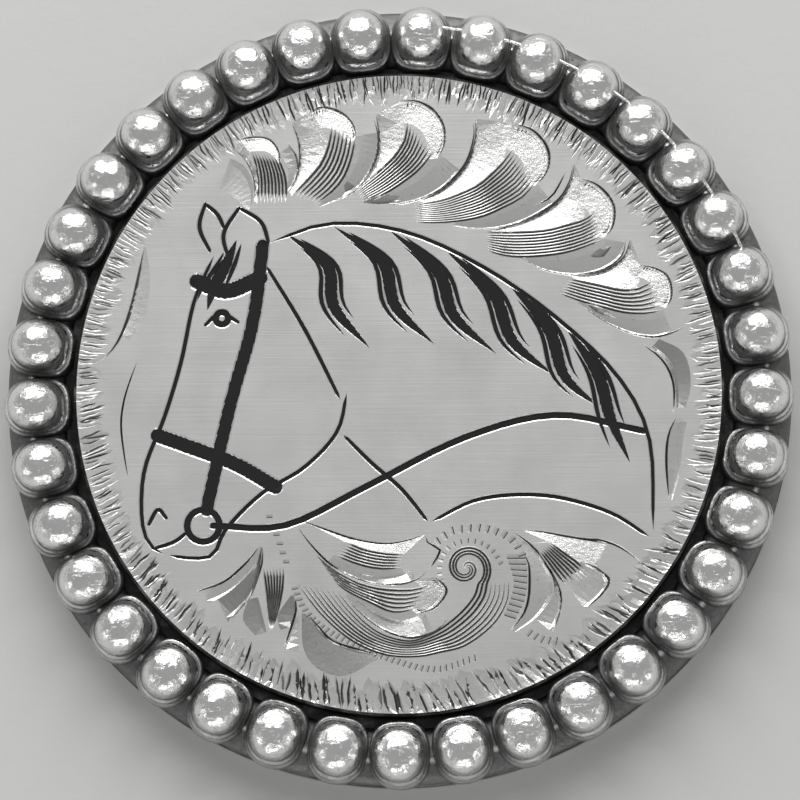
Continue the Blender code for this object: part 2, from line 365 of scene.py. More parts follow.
@dataclass(frozen=True)
class BeadSilver:
    """Polished beads marked by handling, darkened by painted shade and patina at their feet, in
    their creases, between them and on their flanks.
    """

    tint: Tint = (0.93, 0.93, 0.92)
    foot_shade_and_patina_tone: float = 0.12
    roughness: float = 0.1
    relief_depth: float = 0.1

    def material(self) -> bpy.types.Material:
        """The finish as a material."""
        bead = Surface("bead_silver")
        painted_shade = bead.node("ShaderNodeAttribute", output="Fac", attribute_name=PAINTED_SHADE)
        clouds = bead.noise(bead.place, 0.9, 4, 0.6)
        grain = bead.noise(bead.place, 6, 4, 0.7)
        pits = bead.noise(bead.place, 3.2, 5, 0.75).ramp(0.6, 0.72)
        # Painted shade, with some patina: the ring's stored shade, broken by noise, darkens the
        # colour towards the foot tone.
        shade_and_patina = (painted_shade + (clouds - 0.5) * 0.9 + (grain - 0.5) * 0.7).ramp(0.15, 0.95)
        scratches = bead.noise(bead.scaled(bead.place, (0.6, 5, 2)), 1, 4, 0.7).ramp(0.6, 0.72)
        dents = bead.noise(bead.place, 2.6, 1, 0.5)
        tone = 1.04 - 0.15 * clouds - 0.3 * pits - 0.2 * scratches
        tone = tone * (1 - shade_and_patina) + (self.foot_shade_and_patina_tone + 0.2 * grain) * shade_and_patina
        relief = dents * 0.6 + grain * 0.2 + pits * 0.35 + scratches * 0.2 + clouds * 0.3
        return bead.finish(
            Base_Color=bead.grey(tone, self.tint),
            Metallic=1.0,
            Roughness=self.roughness + 0.12 * clouds + 0.42 * shade_and_patina,
            Normal=bead.bump(relief, self.relief_depth),
        )


@dataclass(frozen=True)
class StudioFloor:
    """Pale, even paper."""

    tint: Tint = (0.66, 0.66, 0.65)
    fibre_tint: Tint = (0.6, 0.6, 0.59)

    def material(self) -> bpy.types.Material:
        """The finish as a material."""
        paper = Surface("floor_paper")
        fibre = paper.noise(paper.place, 1.5, 4, 0.6)
        return paper.finish(
            Base_Color=paper.mix(fibre * 0.06, (*self.tint, 1), (*self.fibre_tint, 1)),
            Roughness=0.9,
            Normal=paper.bump(fibre, 0.02),
        )


def smooth(points: Path, stations: int) -> list[Vector]:
    """A smooth curve through places on the drawing.

    Args:
        points: The places, in drawing units.
        stations: How many points the curve gets, evenly spaced.

    Returns:
        The curve's points on the face.
    """
    marks = [Vector((x, y)) * DRAWING_UNIT for x, y in points]
    marks = [2 * marks[0] - marks[1], *marks, 2 * marks[-1] - marks[-2]]
    fine = []
    for a, b, c, d in zip(marks, marks[1:], marks[2:], marks[3:]):
        bend, twist = 2 * a - 5 * b + 4 * c - d, 3 * b - a - 3 * c + d
        for i in range(STEPS_PER_MARK):
            t = i / STEPS_PER_MARK
            fine.append(0.5 * (2 * b + (c - a) * t + bend * t**2 + twist * t**3))
    fine.append(marks[-2])
    return shared_out(fine, stations)


def shared_out(path: Sequence[Vector], stations: int) -> list[Vector]:
    """A curve with another number of points, evenly spaced.

    Args:
        path: The curve.
        stations: How many points it gets.

    Returns:
        The new points.
    """
    lengths = [0.0]
    for a, b in zip(path, path[1:]):
        lengths.append(lengths[-1] + (b - a).length)
    made = []
    spot = 0
    for i in range(stations):
        wanted = lengths[-1] * i / (stations - 1)
        while spot < len(path) - 2 and lengths[spot + 1] < wanted:
            spot += 1
        share = (wanted - lengths[spot]) / max(lengths[spot + 1] - lengths[spot], SHORTEST)
        made.append(path[spot].lerp(path[spot + 1], min(share, 1)))
    return made


def beside(path: Sequence[Vector], other: Sequence[Vector]) -> Sequence[Vector]:
    """The part of a curve that runs beside another, or all of it if they part at once."""
    start, end = (
        min(range(len(path)), key=lambda i: (path[i] - mark).length)
        for mark in (other[0], other[-1])
    )
    return path[start : end + 1] if end > start + 3 else path


def polar(angle: float, distance: float = 1) -> Vector:
    """The place at an angle in radians and a distance from the centre."""
    return Vector((math.cos(angle), math.sin(angle))) * distance


def stations_for(points: Path, spacing: float) -> int:
    """How many points a curve needs for a spacing in millimetres."""
    length = sum(math.dist(a, b) for a, b in zip(points, points[1:])) * DRAWING_UNIT
    return max(4, round(length / spacing) + 1)


def paired(near: Path, far: Path) -> tuple[list[Vector], list[Vector]]:
    """The parts of two curves that run beside each other, with as many points.

    Args:
        near: The first curve, in drawing units.
        far: The second curve.

    Returns:
        The points of both parts, in millimetres.
    """
    count = max(stations_for(near, CURVE_STEP), stations_for(far, CURVE_STEP))
    first, second = smooth(near, PAIRING_STATIONS), smooth(far, PAIRING_STATIONS)
    return shared_out(beside(first, second), count), shared_out(beside(second, first), count)


# A rounded end: shares of its length, each with the width reached there.
ROUND_END = ((0.0, 0.0), (0.1, 0.44), (0.3, 0.71), (0.6, 0.92), (1.0, 1.0))


def with_round_ends(middle: Sequence[Vector], radius: float) -> list[Vector]:
    """Adds the points that a line needs for rounded ends.

    Args:
        middle: The line's middle.
        radius: Half its width.

    Returns:
        The line's middle, longer by the radius at each end.
    """
    start = (middle[0] - middle[1]).normalized()
    end = (middle[-1] - middle[-2]).normalized()
    shares = [1 - share for share, _ in ROUND_END]
    before = [middle[0] + start * radius * share for share in shares]
    after = [middle[-1] + end * radius * share for share in reversed(shares)]
    return [*before, *middle[1:-1], *after]


def partway(near: Sequence[Vector], far: Sequence[Vector], share: float) -> list[Vector]:
    """The curve at a share of the way from one curve to another."""
    return [a.lerp(b, share) for a, b in zip(near, far)]


def swell(share: float, fullness: float) -> float:
    """How full a cut is at a share of its length: nothing at both ends, 1 in the middle."""
    return math.sin(math.pi * share) ** fullness


@dataclass(frozen=True)
class Leaf:
    """One leaf of the scrollwork, as paths on the drawing.

    The shading lines lie between first and last. The plain band runs from the last line to
    band, the bright scoop from scoop to the first line, and head goes round the leaf's top.
    """

    first: Path
    last: Path
    lines: int
    head: Path = ()
    band: Path = ()
    scoop: Path = ()
    scoop_depth: float = 0.22


@dataclass(frozen=True)
class Facet:
    """A slanted cut between two paths, deepest at a share of the way to the second."""

    near: Path
    far: Path
    depth: float
    deepest: float = 0.8
    zone: Zone = Zone.BRIGHT


@dataclass(frozen=True)
class Stroke:
    """A single line that starts and ends in a point."""

    path: Path
    width: float


LEAVES = (
    Leaf(
        first=((-456, 761), (-440, 711), (-434, 649), (-437, 593)),
        last=((-379, 743), (-357, 696), (-348, 643), (-351, 593)),
        lines=9,
        head=((-493, 796), (-453, 802), (-412, 799), (-385, 780), (-369, 749), (-366, 718)),
        band=((-342, 780), (-317, 739), (-314, 683), (-342, 633)),
        scoop=((-502, 758), (-471, 727), (-446, 671), (-446, 602)),
    ),
    Leaf(
        first=((-206, 839), (-215, 780), (-237, 721), (-280, 668), (-332, 615)),
        last=((-135, 802), (-147, 739), (-172, 674), (-215, 624), (-261, 593)),
        lines=7,
        head=((-274, 883), (-237, 895), (-194, 886), (-157, 861), (-135, 824), (-138, 792)),
        band=(
            (-76, 855), (-64, 802), (-70, 739), (-98, 680), (-141, 630), (-203, 599), (-246, 583),
        ),
        scoop=((-330, 845), (-310, 790), (-305, 735), (-312, 683), (-338, 628)),
    ),
    Leaf(
        first=((28, 852), (19, 792), (-9, 743), (-46, 705), (-89, 668), (-135, 630)),
        last=((109, 758), (65, 702), (19, 664), (-43, 624), (-113, 593)),
        lines=9,
        head=((4, 917), (53, 914), (99, 892), (130, 855), (142, 817), (139, 771), (118, 733)),
        band=(
            (229, 849), (232, 805), (216, 739), (186, 689), (130, 636), (65, 605), (4, 590),
            (-43, 590),
        ),
        scoop=((-70, 870), (-60, 802), (-66, 739), (-92, 682), (-133, 634)),
    ),
    Leaf(
        first=((355, 764), (318, 714), (281, 677), (244, 646), (192, 621), (130, 599), (47, 586)),
        last=((423, 658), (380, 611), (330, 583), (269, 555), (204, 540), (130, 533), (47, 533)),
        lines=11,
        head=((352, 842), (408, 824), (445, 789), (463, 752), (463, 708), (445, 671), (420, 646)),
        band=(
            (537, 714), (528, 664), (500, 611), (457, 574), (392, 540), (318, 518), (244, 512),
            (167, 521),
        ),
        scoop=((236, 856), (238, 805), (222, 739), (191, 686), (134, 632), (67, 600)),
    ),
    Leaf(
        first=((608, 565), (571, 537), (518, 521), (457, 505), (380, 499), (263, 499)),
        last=((629, 477), (537, 443), (469, 430), (380, 424), (318, 430), (263, 449)),
        lines=9,
        head=((562, 668), (600, 655), (633, 630), (660, 593), (666, 555), (657, 512), (633, 483)),
        band=(
            (700, 477), (688, 427), (645, 390), (589, 371), (525, 368), (457, 380), (408, 402),
            (364, 427),
        ),
        scoop=((541, 716), (533, 664), (505, 609), (461, 570), (394, 536), (320, 513), (281, 506)),
    ),
    Leaf(
        first=((784, 346), (734, 321), (682, 318), (608, 334), (518, 355)),
        last=((814, 256), (759, 246), (694, 249), (633, 265), (565, 284), (488, 312)),
        lines=7,
        head=((744, 396), (787, 387), (824, 365), (839, 331), (839, 293), (821, 262)),
        band=((885, 206), (839, 184), (784, 171), (716, 184), (651, 212), (602, 243), (552, 277)),
        scoop=((714, 478), (696, 425), (648, 385), (590, 367), (530, 364)),
    ),
    Leaf(
        first=((457, -462), (503, -497), (549, -531), (592, -571)),
        last=((429, -487), (460, -528), (488, -568), (515, -600)),
        lines=7,
        band=((559, -525), (592, -537), (617, -553), (645, -584), (620, -628), (571, -671)),
        scoop=((380, -428), (432, -431), (503, -444), (574, -456), (639, -468)),
        scoop_depth=0.06,
    ),
    Leaf(
        first=((16, -500), (-33, -500), (-104, -487), (-163, -462)),
        last=((10, -543), (-67, -543), (-138, -525), (-197, -500)),
        lines=6,
        band=(
            (90, -550), (56, -578), (4, -593), (-67, -590), (-138, -571), (-209, -531),
            (-271, -468), (-314, -409),
        ),
        scoop=((81, -440), (19, -459), (-49, -468), (-138, -453), (-227, -422), (-308, -390)),
        scoop_depth=0.06,
    ),
    Leaf(
        first=(
            (99, -593), (56, -609), (4, -612), (-67, -606), (-138, -584), (-209, -543),
            (-261, -493),
        ),
        last=((50, -668), (4, -678), (-33, -674), (-83, -650), (-154, -615), (-200, -581)),
        lines=6,
        head=(
            (105, -571), (127, -584), (145, -603), (145, -621), (130, -646), (102, -671),
            (56, -684),
        ),
        band=(
            (152, -696), (130, -724), (96, -746), (38, -759), (-18, -746), (-76, -715),
            (-132, -668), (-163, -628),
        ),
    ),
    Leaf(
        first=((-416, -537), (-406, -600), (-400, -662), (-394, -734)),
        last=((-354, -537), (-357, -600), (-369, -662), (-388, -734)),
        lines=7,
    ),
)

FACETS = (
    Facet(
        ((-585, 655), (-545, 640), (-505, 610), (-465, 570)),
        ((-520, 735), (-480, 715), (-455, 671), (-448, 620), (-462, 566)),
        0.08,
    ),
    Facet(
        ((-132, -553), (-73, -568), (-15, -565), (41, -547)),
        ((-138, -571), (-67, -590), (4, -593), (56, -578)),
        0.2, 0.15,
    ),
    Facet(
        ((-154, -625), (-86, -668), (-33, -696), (19, -703), (81, -684)),
        ((-150, -646), (-76, -715), (-18, -743), (38, -756), (130, -721)),
        0.24, 0.2,
    ),
    Facet(
        ((589, 424), (620, 449), (657, 458)),
        ((589, 424), (629, 421), (657, 458)),
        0.22, 0.8, Zone.SHADED,
    ),
    Facet(
        ((577, 277), (614, 271), (670, 234)),
        ((577, 277), (614, 246), (670, 231)),
        0.22, 0.8, Zone.SHADED,
    ),
    Facet(
        ((-184, 636), (-150, 671), (-129, 664)),
        ((-184, 612), (-138, 622), (-118, 650)),
        0.24, 0.6, Zone.SHADED,
    ),
    Facet(
        ((-113, 615), (-52, 621), (4, 615)),
        ((-107, 593), (-46, 590), (10, 605)),
        0.24, 0.8, Zone.SHADED,
    ),
    Facet(
        ((343, -428), (398, -528), (404, -615), (380, -690), (343, -740)),
        ((386, -456), (448, -528), (472, -615), (429, -690), (355, -743)),
        0.16,
    ),
    Facet(
        ((386, -456), (451, -528), (475, -615), (432, -690), (386, -743)),
        ((389, -459), (475, -571), (497, -656), (485, -709), (469, -743)),
        0.2,
    ),
    Facet(
        ((-631, -618), (-588, -606), (-517, -575), (-453, -512), (-425, -472)),
        ((-585, -650), (-539, -628), (-490, -590), (-440, -534), (-422, -475)),
        0.14,
    ),
    Facet(
        ((-585, -650), (-539, -628), (-490, -590), (-440, -534), (-422, -475)),
        ((-523, -709), (-480, -665), (-446, -615), (-428, -553), (-419, -478)),
        0.22, 0.8, Zone.SHADED,
    ),
    Facet(
        ((-784, 458), (-800, 381), (-819, 292), (-844, 211), (-870, 160)),
        ((-780, 458), (-768, 381), (-771, 292), (-788, 219), (-833, 168)),
        0.07, 0.12,
    ),
    Facet(
        ((-290, -682), (-264, -703), (-227, -746), (-138, -790), (-58, -812)),
        ((-298, -684), (-292, -790), (-250, -852), (-165, -876), (-58, -820)),
        0.08, 0.12, Zone.SHADED,
    ),
    Facet(
        ((-302, -690), (-306, -750), (-308, -805)),
        ((-312, -690), (-335, -750), (-352, -800)),
        0.1, 0.9,
    ),
    Facet(
        ((-323, -625), (-316, -665), (-329, -724)),
        ((-332, -628), (-372, -690), (-362, -735)),
        0.1, 0.2, Zone.SHADED,
    ),
    Facet(
        ((-440, -600), (-424, -660), (-405, -740)),
        ((-462, -640), (-478, -700), (-440, -750)),
        0.04, 0.2, Zone.SHADED,
    ),
    Facet(
        ((774, 143), (812, 108), (838, 62), (850, 6), (853, -50)),
        ((800, 165), (868, 130), (893, 75), (896, 10), (880, -50)),
        0.1, 0.2, Zone.SHADED,
    ),
    Facet(
        ((858, -72), (836, -110), (824, -156), (821, -216), (830, -334)),
        ((885, -97), (873, -147), (867, -203), (861, -259), (836, -341)),
        0.2,
    ),
)

STROKES = (
    Stroke(((-784, 462), (-800, 381), (-819, 292), (-844, 211), (-873, 152), (-917, 101)), 0.17),
    Stroke(((-804, 105), (-830, 34), (-848, -32), (-854, -106), (-841, -209), (-829, -272)), 0.09),
    Stroke(((747, 150), (796, 115), (827, 75), (845, 22), (845, -44), (842, -69)), 0.12),
    Stroke(((858, -72), (836, -110), (824, -156), (821, -216), (824, -272), (830, -341)), 0.12),
    Stroke(((414, 583), (463, 605), (488, 636), (515, 689)), 0.09),
    Stroke(((438, 399), (497, 393), (583, 396)), 0.09),
    Stroke(
        (
            (343, -425), (386, -456), (420, -487), (448, -528), (475, -571), (494, -615),
            (497, -656), (485, -709), (469, -743),
        ),
        0.13,
    ),
    Stroke(((377, -487), (398, -528), (401, -571), (398, -637), (380, -690), (340, -740)), 0.13),
    Stroke(
        ((377, -428), (432, -431), (503, -444), (574, -456), (620, -459), (679, -481), (744, -528)),
        0.13,
    ),
    Stroke(
        ((-58, -812), (-138, -790), (-203, -768), (-240, -731), (-264, -703), (-280, -678)),
        0.13,
    ),
    Stroke(((-323, -625), (-314, -665), (-329, -724), (-351, -787)), 0.12),
    Stroke(((81, -440), (87, -462), (109, -475), (127, -487), (115, -515), (90, -550)), 0.11),
    Stroke(
        (
            (-425, -468), (-453, -509), (-486, -543), (-517, -571), (-554, -593), (-588, -603),
            (-631, -618),
        ),
        0.12,
    ),
    Stroke(
        ((-523, -709), (-486, -668), (-456, -628), (-437, -581), (-419, -522), (-419, -472)),
        0.12,
    ),
)

SCROLL_CENTRE = (207, -543)
SCROLL_FLOW = (
    (
        (244, -593), (232, -631), (192, -681), (130, -731), (68, -762), (19, -768), (-49, -749),
        (-104, -712), (-154, -659), (-187, -615),
    ),
    (
        (337, -578), (330, -646), (287, -718), (204, -781), (127, -802), (56, -815), (-43, -809),
        (-144, -765), (-237, -684), (-314, -584),
    ),
)
TICK_ARC = (
    (118, -462), (158, -431), (198, -422), (250, -419), (290, -428), (330, -444), (358, -468),
    (377, -500),
)
SIDE_TICKS = (
    ((330, -509), (343, -547), (352, -587), (343, -634), (324, -684)),
    ((389, -509), (395, -547), (395, -596), (386, -646), (361, -696)),
)
SMALL_TICKS = (
    (130, -584), (124, -543), (136, -503), (164, -472), (210, -459), (256, -468), (290, -493),
    (312, -528),
)
L_MARKS = ((-397, -381), (-382, -419), (-369, -453), (-357, -490), (-345, -522))

# Rows of ticks, each with its count and the length of a tick in millimetres.
TICK_ROWS = (
    (
        (
            (-318, -604), (-292, -664), (-245, -716), (-190, -752), (-120, -784), (-20, -826),
            (110, -856), (230, -822),
        ),
        36,
        0.34,
    ),
    (((-180, -560), (-120, -610), (-60, -640)), 8, 0.2),
    (((400, -745), (440, -765), (480, -770)), 5, 0.4),
)


@dataclass(frozen=True)
class BorderSector:
    """How 30 degrees of the border are cut: pitch and lean in degrees, the rest in millimetres."""

    pitch: float
    length: float
    lean: float
    inset: float
    depth: float
    slant: float


# The border's sectors from +X, counterclockwise.
BORDER = (
    BorderSector(1.1, 1.35, 0, 0.05, 0.04, 0.014),
    BorderSector(1.0, 1.45, 0, 0.02, 0.055, 0.02),
    BorderSector(1.0, 1.45, 0, 0.0, 0.05, 0.04),
    BorderSector(1.0, 1.5, 0, 0.0, 0.048, 0.04),
    BorderSector(1.0, 1.4, 0, 0.02, 0.04, 0.015),
    BorderSector(1.1, 1.3, 5, 0.08, 0.035, 0.012),
    BorderSector(1.2, 1.4, 8, 0.12, 0.045, 0.018),
    BorderSector(1.5, 1.4, 12, 0.12, 0.055, 0.04),
    BorderSector(1.7, 1.6, 15, 0.05, 0.06, 0.06),
    BorderSector(1.8, 1.7, 20, 0.02, 0.06, 0.07),
    BorderSector(1.6, 1.5, 15, 0.02, 0.055, 0.05),
    BorderSector(1.2, 1.35, 6, 0.05, 0.04, 0.016),
)

# The horse's head: its lines, its straps with their share of the strap width, its mane.
HEAD_LINES = (
    (
        (-570, 430), (-630, 290), (-670, 100), (-720, -70), (-780, -230), (-790, -370),
        (-770, -460), (-720, -500),
    ),
    (
        (-710, -500), (-640, -510), (-570, -500), (-530, -420), (-420, -310), (-290, -230),
        (-190, -120), (-160, 0),
    ),
    ((-170, -130), (-80, -220), (10, -300), (90, -400)),
    ((100, -400), (250, -330), (450, -320), (640, -370), (770, -450)),
    (
        (-400, 470), (-210, 530), (30, 500), (280, 380), (500, 220), (680, 40), (770, -150),
        (780, -430),
    ),
    ((-525, 420), (-540, 500), (-490, 585)),
    ((-492, 580), (-425, 535), (-400, 465)),
    ((-580, 440), (-615, 520), (-595, 600)),
    ((-596, 592), (-560, 560), (-538, 515)),
    ((-600, 210), (-550, 250), (-490, 220)),
    ((-770, -410), (-740, -360), (-710, -390)),
    ((-750, -480), (-690, -460), (-650, -430)),
    ((-410, 400), (-290, 200), (-180, -20)),
)
HEAD_STRAPS = (
    (((-420, 460), (-450, 220), (-520, -40), (-590, -360)), 0.8),
    (((-620, 350), (-530, 320), (-430, 360)), 1.0),
    (((-740, -130), (-630, -170), (-500, -220), (-380, -290)), 0.9),
    (((-570, -410), (-350, -410), (-100, -290), (200, -140), (480, -70), (750, -120)), 0.4),
)
MANE_LOCKS = (
    ((-500, 480), (-530, 410), (-570, 330), (-590, 260)),
    ((-350, 500), (-220, 400), (-200, 270), (-90, 140)),
    ((-200, 520), (-50, 410), (-10, 270), (110, 150)),
    ((-30, 510), (120, 380), (170, 240), (300, 120)),
    ((140, 450), (290, 310), (350, 160), (480, 50)),
    ((330, 350), (460, 200), (510, 50), (620, -50)),
    ((510, 210), (610, 60), (650, -80), (710, -220)),
)
# The ring at the bit and the eye, each with its radius in millimetres.
HEAD_SPOTS = (((-600, -410), 0.78), ((-545, 235), 0.3))

# Profiles of the cuts: places across, each with its depth in millimetres.
V_CUT: Profile = ((-1, 0), (0.15, 0.1), (1, 0))
TICK_CUT: Profile = ((-1, 0), (-0.75, 0.05), (-0.5, 0.02), (0.85, 0.004), (1, 0))
DEEP_CUT: Profile = ((-1, 0), (-0.1, 0.12), (1, 0))
FILLED: Profile = ((-1, 0), (-0.86, 0.07), (0.86, 0.07), (1, 0))
BAND: Profile = ((0, 0), (0.3, 0.03), (0.9, 0.2), (1, 0))
HEAD: Profile = ((0, 0), (0.1, 0.1), (1, 0))


class Engraving:
    """All the cuts in the face, and the surface that they leave."""

    def __init__(self) -> None:
        """Starts with an uncut face."""
        self.cuts: list[tuple[Rails, Zone]] = []

    def swath(
        self,
        near: Sequence[Vector],
        far: Sequence[Vector],
        profile: Profile,
        zone: Zone,
        fullness: float = 0.6,
    ) -> None:
        """Cuts the surface between two sides with as many points.

        Args:
            near: The first side, in millimetres.
            far: The second side.
            profile: Shares of the way across, each with its depth.
            zone: The cut's finish.
            fullness: How slowly the cut gets shallower towards its ends; the less, the later.
        """
        rails = []
        for share, depth in profile:
            rail = []
            for i, (a, b) in enumerate(zip(near, far)):
                place = a.lerp(b, share)
                depth_here = depth * swell(i / (len(near) - 1), fullness)
                rail.append(Vector((place.x, place.y, -depth_here)))
            rails.append(rail)
        self.cuts.append((rails, zone))

    def stroke(
        self,
        middle: Sequence[Vector],
        width: float,
        profile: Profile,
        zone: Zone,
        fullness: float = 0.5,
    ) -> None:
        """Cuts one line.

        Args:
            middle: The line's middle, in millimetres.
            width: Its greatest width.
            profile: Places across from -1 to 1, each with its depth.
            zone: The cut's finish.
            fullness: How slowly it gets narrower towards its ends; 0 keeps its width.
        """
        if not fullness:
            middle = with_round_ends(middle, width / 2)
        last = len(middle) - 1
        rails: Rails = [[] for _ in profile]
        for i, place in enumerate(middle):
            along = middle[min(i + 1, last)] - middle[max(i - 1, 0)]
            side = Vector((-along.y, along.x)).normalized() * width / 2
            if fullness:
                size = swell(i / last, fullness)
            else:
                size = ROUND_END[min(i, last - i, len(ROUND_END) - 1)][1]
            for rail, (across, depth) in zip(rails, profile):
                spot = place + side * across * size
                rail.append(Vector((spot.x, spot.y, -depth * size)))
        self.cuts.append((rails, zone))

    def surface(
        self, outline: Sequence[Vector]
    ) -> tuple[list[Vector], list[tuple[list[int], Zone]]]:
        """Shares out the face into triangles that follow every cut.

        Args:
            outline: The face's rim, in millimetres.

        Returns:
            The points, with heights below the face, and the triangles, each with its finish.
        """
        places: list[Vector] = [Vector((p.x, p.y, 0)) for p in outline]
        edges = [(i, (i + 1) % len(outline)) for i in range(len(outline))]
        quads: list[tuple[int, ...]] = []
        owners: list[Zone] = []
        for rails, zone in self.cuts:
            start = len(places)
            length = len(rails[0])
            for rail in rails:
                places.extend(rail)
            for r in range(len(rails)):
                row = start + r * length
                edges.extend((row + i, row + i + 1) for i in range(length - 1))
                if r:
                    edges.extend(((row - length, row), (row - 1, row + length - 1)))
                    for i in range(length - 1):
                        before = row - length + i
                        quads.append((before, before + 1, row + i + 1, row + i))
                        owners.append(zone)
        carved = BVHTree.FromPolygons(places, quads, all_triangles=False)
        flat = [Vector((p.x, p.y)) for p in places]
        made, _, faces, sources, _, _ = delaunay_2d_cdt(flat, edges, [], 1, MERGE_DISTANCE)
        up = Vector((0, 0, 1))
        points = []
        for place, source in zip(made, sources):
            height = min([places[i].z for i in source], default=0.0)
            hit, _, _, _ = carved.ray_cast(Vector((place.x, place.y, PROBE_START)), up)
            if hit:
                height = min(height, hit.z)
            points.append(Vector((place.x, place.y, height)))
        triangles = []
        for corners in faces:
            middle = sum((points[i] for i in corners), Vector()) / len(corners)
            hit, _, index, _ = carved.ray_cast(Vector((middle.x, middle.y, PROBE_START)), up)
            triangles.append((corners, owners[index] if hit else Zone.SATIN))
        return points, triangles


@dataclass
class EngravedPlate:
    """The plate: raised engraved face, flange for the beads, hollow back and screw boss."""

    flange_setback: float = 0.15
    sheet_thickness: float = 1.0
    rim_seat_width: float = 4.6
    hollow_draft: float = 0.3
    edge_bevel: float = 0.12
    back_bevel: float = 0.05
    rim_bevel_drop: float = 0.03
    boss_radius: float = 3.2
    bore_radius: float = 1.75
    bore_floor: float = 0.45
    segments: int = 296
    rim_tolerance: float = 1e-3
    sliver_length: float = 5e-4
    liner_width: float = 0.17
    liner_step: float = 0.5
    outline_width: float = 0.15
    scoop_edge: float = 0.05
    head_reach: float = 0.34
    head_line: float = 0.2
    head_width: float = 0.1
    ray_width: float = 0.08
    head_rays: tuple[float, float, float] = (-0.06, 0.2, 0.46)
    stroke_step: float = 0.4
    stroke_weight: float = 1.2
    scroll_lines: int = 8
    scroll_arms: int = 3
    scroll_pitch: float = 0.24
    scroll_step: float = 0.22
    scroll_end: float = 0.06
    notch_inset: tuple[float, float] = (0.2, 2.2)
    notch_length: tuple[float, float] = (0.6, 1.15)
    notch_turn: float = 9.0
    notch_bow: float = 0.05
    notch_overhang: float = 0.05
    line_width: float = 0.2
    line_burr: float = 0.03
    strap_width: float = 0.8
    burr_width: float = 0.05
    lock_stations: int = 20
    strands: Sequence[tuple[int, int, int]] = ((1, 1, 15), (-1, 3, 18))
    seed: int = 7
    engraving: Engraving = field(default_factory=Engraving)

    def engrave_leaf(self, leaf: Leaf) -> None:
        """Cuts one leaf: scoop, shading lines, plain band, outline and head."""
        cuts = self.engraving
        if leaf.scoop:
            count = stations_for(leaf.scoop, CURVE_STEP)
            profile = ((0, 0), (self.scoop_edge, leaf.scoop_depth), (1, 0))
            inner = (leaf.head[0], *leaf.first[1:]) if leaf.head else leaf.first
            sides = smooth(leaf.scoop, count), smooth(inner, count)
            cuts.swath(*sides, profile, Zone.SPECKLED, fullness=0.5)
            cuts.stroke(smooth(leaf.scoop, stations=20), self.outline_width, DEEP_CUT, Zone.LINER)
        if leaf.band:
            cuts.swath(*paired(leaf.last, leaf.band), BAND, Zone.BRIGHT, fullness=0.8)
            cuts.stroke(smooth(leaf.band, stations=24), self.outline_width, DEEP_CUT, Zone.LINER)
        count = max(stations_for(path, self.liner_step) for path in (leaf.first, leaf.last))
        first, last = smooth(leaf.first, count), smooth(leaf.last, count)
        for i in range(leaf.lines):
            middle = partway(first, last, i / (leaf.lines - 1))
            cuts.stroke(middle, self.liner_width, V_CUT, Zone.LINER, fullness=0.24)
        if leaf.head:
            head = smooth(leaf.head, stations=22)
            heart = self.middle_of(leaf)
            inner = [p.lerp(heart, self.head_reach) for p in head]
            cuts.swath(head, inner, HEAD, Zone.SPECKLED, fullness=0.8)
            cuts.stroke(head, self.outline_width, DEEP_CUT, Zone.LINER)
            line = partway(head, inner, self.head_line)
            cuts.stroke(line, self.head_width, V_CUT, Zone.LINER)
            for a, b in zip(head[2:-2], inner[2:-2]):
                ray = [a.lerp(b, t) for t in self.head_rays]
                cuts.stroke(ray, self.ray_width, V_CUT, Zone.LINER)

    @staticmethod
    def middle_of(leaf: Leaf) -> Vector:
        """The middle of a leaf's shading lines."""
        places = [Vector(p) for p in (*leaf.first, *leaf.last)]
        return sum(places, Vector((0, 0))) / len(places) * DRAWING_UNIT

    def engrave_scroll(self) -> None:
        """Cuts the spiral, the shading that flows out of it and the ticks round it."""
        cuts = self.engraving
        centre = Vector(SCROLL_CENTRE) * DRAWING_UNIT
        first, last = (smooth(path, stations=44) for path in SCROLL_FLOW)
        for i in range(self.scroll_lines):
            middle = partway(last, first, i / (self.scroll_lines - 1))
            if i >= self.scroll_lines - self.scroll_arms:
                middle.reverse()
                start = middle[-1] - centre
                turn = math.atan2(start.y, start.x)
                reach = start.length
                while reach > self.scroll_end:
                    turn += self.scroll_step
                    reach -= self.scroll_pitch * self.scroll_arms * self.scroll_step / math.tau
                    middle.append(centre + polar(turn, reach))
            cuts.stroke(middle, self.liner_width * 0.9, V_CUT, Zone.LINER, fullness=0.3)
        self.ticks(TICK_ARC, count=12, length=0.4, width=0.24, lean=8)
        self.ticks(SMALL_TICKS, count=15, length=0.26, width=0.14, lean=0)
        inner, outer = (smooth(path, stations=11) for path in SIDE_TICKS)
        for a, b in zip(inner, outer):
            middle = [a.lerp(b, t) for t in (0, 0.05, 0.95, 1)]
            cuts.stroke(middle, 0.24, TICK_CUT, Zone.NOTCH, fullness=0.12)
        self.ticks(L_MARKS, count=6, length=0.32, width=0.18, lean=20)
        for row, count, length in TICK_ROWS:
            self.ticks(row, count, length, width=0.15, lean=12)

    def ticks(self, path: Path, count: int, length: float, width: float, lean: float) -> None:
        """Cuts a row of short marks along a path.

        Args:
            path: The row, in drawing units.
            count: How many marks.
            length: Length of a mark in millimetres.
            width: Width of a mark.
            lean: Angle between a mark and the row's direction, less 90, in degrees.
        """
        row = smooth(path, count)
        for i, place in enumerate(row):
            along = (row[min(i + 1, count - 1)] - row[max(i - 1, 0)]).normalized()
            turn = Matrix.Rotation(math.radians(90 - lean), 2)
            half = turn @ along * length / 2
            middle = [place + half * share for share in (-1, -0.9, 0.9, 1)]
            self.engraving.stroke(middle, width, TICK_CUT, Zone.NOTCH, fullness=0.12)

